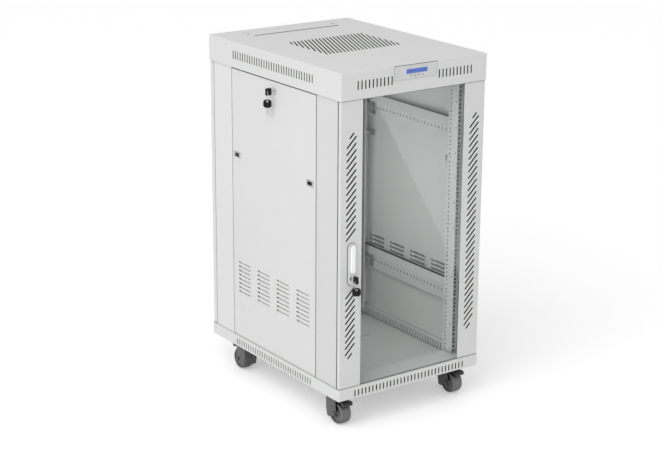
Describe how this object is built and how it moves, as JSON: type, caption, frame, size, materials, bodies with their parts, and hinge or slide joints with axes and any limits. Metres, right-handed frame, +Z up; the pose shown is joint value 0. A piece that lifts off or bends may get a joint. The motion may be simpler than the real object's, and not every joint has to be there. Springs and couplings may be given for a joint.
{
  "type": "server rack cabinet",
  "caption": "Free-standing 19-inch rack cabinet on braked swivel casters, with a framed glass front door, lift-off louvred side panels, a vented cap with fan controller, and a rear door.",
  "frame": {"origin": "on the floor, under the middle of the 600 by 800 mm plan of the cabinet, at the plane the four wheels stand on", "axes": "+Z up, -Y out of the glass front door, +X to the right-hand side seen from the front, where the front door is hinged"},
  "size_m": [0.6342, 0.8397, 1.228],
  "materials": {
    "grey_powder_coat": "fine-textured light grey powder coat",
    "rail_zinc": "satin, light grey",
    "steel_plated": "zinc plated",
    "lock_chrome": "polished",
    "key_black_plastic": "matt black head, plated blade and ring",
    "tinted_glass": "clear tempered glass, slightly grey",
    "seal_rubber": "matt",
    "escutcheon_grey": "satin",
    "lever_light_metal": "satin, near white",
    "fascia_grey": "satin",
    "display_blue": "backlit display window",
    "circuit_board": "solder-mask green",
    "button_grey": "satin",
    "fan_black_plastic": "moulded black",
    "latch_plate_light": "satin",
    "latch_slider_dark": "satin black",
    "caster_steel": "zinc plated pressing",
    "caster_wheel_nylon": "black nylon with a darker tread",
    "pedal_black": "moulded black"
  },
  "bodies": {
    "cabinet": {"base_tray": "grey_powder_coat", "top_cover": "grey_powder_coat", "front_posts": "grey_powder_coat", "rear_posts": "grey_powder_coat", "depth_members": "grey_powder_coat", "front_rails": "rail_zinc", "rear_rails": "rail_zinc", "rail_brackets": "grey_powder_coat", "cable_covers": "grey_powder_coat", "frame_fasteners": "steel_plated", "fan_tray": "grey_powder_coat", "fan_frames": "fan_black_plastic", "lcd_bezel": "fascia_grey", "lcd_display": "display_blue", "controller_board": "circuit_board", "caster_plates": "steel_plated", "hinge_pins": "steel_plated"},
    "fan_rotor_left": {"fan_rotor_left": "fan_black_plastic"},
    "fan_rotor_right": {"fan_rotor_right": "fan_black_plastic"},
    "button_1": {"button_1": "button_grey"},
    "button_2": {"button_2": "button_grey"},
    "button_3": {"button_3": "button_grey"},
    "button_4": {"button_4": "button_grey"},
    "front_door": {"door_left_stile": "grey_powder_coat", "door_right_stile": "grey_powder_coat", "door_glass": "tinted_glass", "door_seals": "seal_rubber", "handle_escutcheon": "escutcheon_grey"},
    "handle_spindle": {"handle_spindle": "steel_plated", "latch_cam": "steel_plated"},
    "handle_lever": {"handle_lever": "lever_light_metal"},
    "door_lock": {"door_lock_cylinder": "lock_chrome", "door_key": "key_black_plastic"},
    "door_spare_key": {"door_spare_key": "key_black_plastic"},
    "rear_door": {"rear_door": "grey_powder_coat"},
    "rear_lock": {"rear_lock_cylinder": "lock_chrome"},
    "left_panel": {"left_panel": "grey_powder_coat", "left_latch_plates": "latch_plate_light"},
    "right_panel": {"right_panel": "grey_powder_coat", "right_latch_plates": "latch_plate_light"},
    "left_latch_front": {"left_latch_front": "latch_slider_dark"},
    "left_latch_rear": {"left_latch_rear": "latch_slider_dark"},
    "right_latch_front": {"right_latch_front": "latch_slider_dark"},
    "right_latch_rear": {"right_latch_rear": "latch_slider_dark"},
    "left_lock": {"left_lock_cylinder": "lock_chrome", "left_key": "key_black_plastic"},
    "left_spare_key": {"left_spare_key": "key_black_plastic"},
    "right_lock": {"right_lock_cylinder": "lock_chrome"},
    "caster_fork_front_left": {"caster_fork_front_left": "caster_steel"},
    "caster_wheel_front_left": {"caster_wheel_front_left": "caster_wheel_nylon"},
    "caster_pedal_front_left": {"caster_pedal_front_left": "pedal_black"},
    "caster_fork_front_right": {"caster_fork_front_right": "caster_steel"},
    "caster_wheel_front_right": {"caster_wheel_front_right": "caster_wheel_nylon"},
    "caster_pedal_front_right": {"caster_pedal_front_right": "pedal_black"},
    "caster_fork_rear_left": {"caster_fork_rear_left": "caster_steel"},
    "caster_wheel_rear_left": {"caster_wheel_rear_left": "caster_wheel_nylon"},
    "caster_pedal_rear_left": {"caster_pedal_rear_left": "pedal_black"},
    "caster_fork_rear_right": {"caster_fork_rear_right": "caster_steel"},
    "caster_wheel_rear_right": {"caster_wheel_rear_right": "caster_wheel_nylon"},
    "caster_pedal_rear_right": {"caster_pedal_rear_right": "pedal_black"}
  },
  "joints": [
    {"name": "front_door_swing", "type": "hinge", "parent": "cabinet", "child": "front_door", "pos_m": [0.29, -0.392, 0.6], "axis": [0, 0, 1], "range_deg": [0, 135]},
    {"name": "rear_door_swing", "type": "hinge", "parent": "cabinet", "child": "rear_door", "pos_m": [-0.29, 0.39, 0.6], "axis": [0, 0, 1], "range_deg": [0, 120]},
    {"name": "handle_turn", "type": "hinge", "parent": "front_door", "child": "handle_spindle", "pos_m": [-0.2515, -0.4034, 0.646], "axis": [0, -1, 0], "range_deg": [0, 90]},
    {"name": "handle_lift", "type": "hinge", "parent": "handle_spindle", "child": "handle_lever", "pos_m": [-0.2515, -0.4068, 0.646], "axis": [-1, 0, 0], "range_deg": [0, 28]},
    {"name": "door_lock_turn", "type": "hinge", "parent": "front_door", "child": "door_lock", "pos_m": [-0.2515, -0.403, 0.539], "axis": [0, -1, 0], "range_deg": [0, 90]},
    {"name": "door_spare_key_swing", "type": "hinge", "parent": "door_lock", "child": "door_spare_key", "pos_m": [-0.2515, -0.4285, 0.5082], "axis": [-0.9063, -0.4226, 0], "range_deg": [-12, 45]},
    {"name": "rear_lock_turn", "type": "hinge", "parent": "rear_door", "child": "rear_lock", "pos_m": [0.25, 0.398, 0.587], "axis": [0, -1, 0], "range_deg": [0, 90]},
    {"name": "left_panel_removal", "type": "slide", "parent": "cabinet", "child": "left_panel", "axis": [-1, 0, 0], "range_m": [0, 0.15]},
    {"name": "right_panel_removal", "type": "slide", "parent": "cabinet", "child": "right_panel", "axis": [1, 0, 0], "range_m": [0, 0.15]},
    {"name": "left_latch_front_slide", "type": "slide", "parent": "left_panel", "child": "left_latch_front", "axis": [0, -1, 0], "range_m": [0, 0.007]},
    {"name": "left_latch_rear_slide", "type": "slide", "parent": "left_panel", "child": "left_latch_rear", "axis": [0, 1, 0], "range_m": [0, 0.007]},
    {"name": "right_latch_front_slide", "type": "slide", "parent": "right_panel", "child": "right_latch_front", "axis": [0, -1, 0], "range_m": [0, 0.007]},
    {"name": "right_latch_rear_slide", "type": "slide", "parent": "right_panel", "child": "right_latch_rear", "axis": [0, 1, 0], "range_m": [0, 0.007]},
    {"name": "left_lock_turn", "type": "hinge", "parent": "left_panel", "child": "left_lock", "pos_m": [-0.297, -0.01, 1.1], "axis": [-1, 0, 0], "range_deg": [0, 90]},
    {"name": "right_lock_turn", "type": "hinge", "parent": "right_panel", "child": "right_lock", "pos_m": [0.297, -0.01, 1.1], "axis": [-1, 0, 0], "range_deg": [0, 90]},
    {"name": "left_spare_key_swing", "type": "hinge", "parent": "left_lock", "child": "left_spare_key", "pos_m": [-0.323, -0.01, 1.0692], "axis": [0.4226, 0.9063, 0], "range_deg": [-12, 45]},
    {"name": "button_1_press", "type": "slide", "parent": "cabinet", "child": "button_1", "axis": [0, 1, 0], "range_m": [0, 0.0006]},
    {"name": "button_2_press", "type": "slide", "parent": "cabinet", "child": "button_2", "axis": [0, 1, 0], "range_m": [0, 0.0006]},
    {"name": "button_3_press", "type": "slide", "parent": "cabinet", "child": "button_3", "axis": [0, 1, 0], "range_m": [0, 0.0006]},
    {"name": "button_4_press", "type": "slide", "parent": "cabinet", "child": "button_4", "axis": [0, 1, 0], "range_m": [0, 0.0006]},
    {"name": "fan_left_spin", "type": "hinge", "parent": "cabinet", "child": "fan_rotor_left", "pos_m": [-0.075, 0, 1.2], "axis": [0, 0, 1], "continuous": true},
    {"name": "fan_right_spin", "type": "hinge", "parent": "cabinet", "child": "fan_rotor_right", "pos_m": [0.075, 0, 1.2], "axis": [0, 0, 1], "continuous": true},
    {"name": "front_left_caster_swivel", "type": "hinge", "parent": "cabinet", "child": "caster_fork_front_left", "pos_m": [-0.243, -0.306, 0.1], "axis": [0, 0, 1], "continuous": true},
    {"name": "front_left_wheel_roll", "type": "hinge", "parent": "caster_fork_front_left", "child": "caster_wheel_front_left", "pos_m": [-0.243, -0.331, 0.0375], "axis": [1, 0, 0], "continuous": true},
    {"name": "front_left_brake_pedal", "type": "hinge", "parent": "caster_fork_front_left", "child": "caster_pedal_front_left", "pos_m": [-0.243, -0.326, 0.089], "axis": [1, 0, 0], "range_deg": [0, 15]},
    {"name": "front_right_caster_swivel", "type": "hinge", "parent": "cabinet", "child": "caster_fork_front_right", "pos_m": [0.243, -0.306, 0.1], "axis": [0, 0, 1], "continuous": true},
    {"name": "front_right_wheel_roll", "type": "hinge", "parent": "caster_fork_front_right", "child": "caster_wheel_front_right", "pos_m": [0.243, -0.331, 0.0375], "axis": [1, 0, 0], "continuous": true},
    {"name": "front_right_brake_pedal", "type": "hinge", "parent": "caster_fork_front_right", "child": "caster_pedal_front_right", "pos_m": [0.243, -0.326, 0.089], "axis": [1, 0, 0], "range_deg": [0, 15]},
    {"name": "rear_left_caster_swivel", "type": "hinge", "parent": "cabinet", "child": "caster_fork_rear_left", "pos_m": [-0.243, 0.256, 0.1], "axis": [0, 0, 1], "continuous": true},
    {"name": "rear_left_wheel_roll", "type": "hinge", "parent": "caster_fork_rear_left", "child": "caster_wheel_rear_left", "pos_m": [-0.243, 0.281, 0.0375], "axis": [1, 0, 0], "continuous": true},
    {"name": "rear_left_brake_pedal", "type": "hinge", "parent": "caster_fork_rear_left", "child": "caster_pedal_rear_left", "pos_m": [-0.243, 0.276, 0.089], "axis": [-1, 0, 0], "range_deg": [0, 15]},
    {"name": "rear_right_caster_swivel", "type": "hinge", "parent": "cabinet", "child": "caster_fork_rear_right", "pos_m": [0.243, 0.256, 0.1], "axis": [0, 0, 1], "continuous": true},
    {"name": "rear_right_wheel_roll", "type": "hinge", "parent": "caster_fork_rear_right", "child": "caster_wheel_rear_right", "pos_m": [0.243, 0.281, 0.0375], "axis": [1, 0, 0], "continuous": true},
    {"name": "rear_right_brake_pedal", "type": "hinge", "parent": "caster_fork_rear_right", "child": "caster_pedal_rear_right", "pos_m": [0.243, 0.276, 0.089], "axis": [-1, 0, 0], "range_deg": [0, 15]}
  ]
}
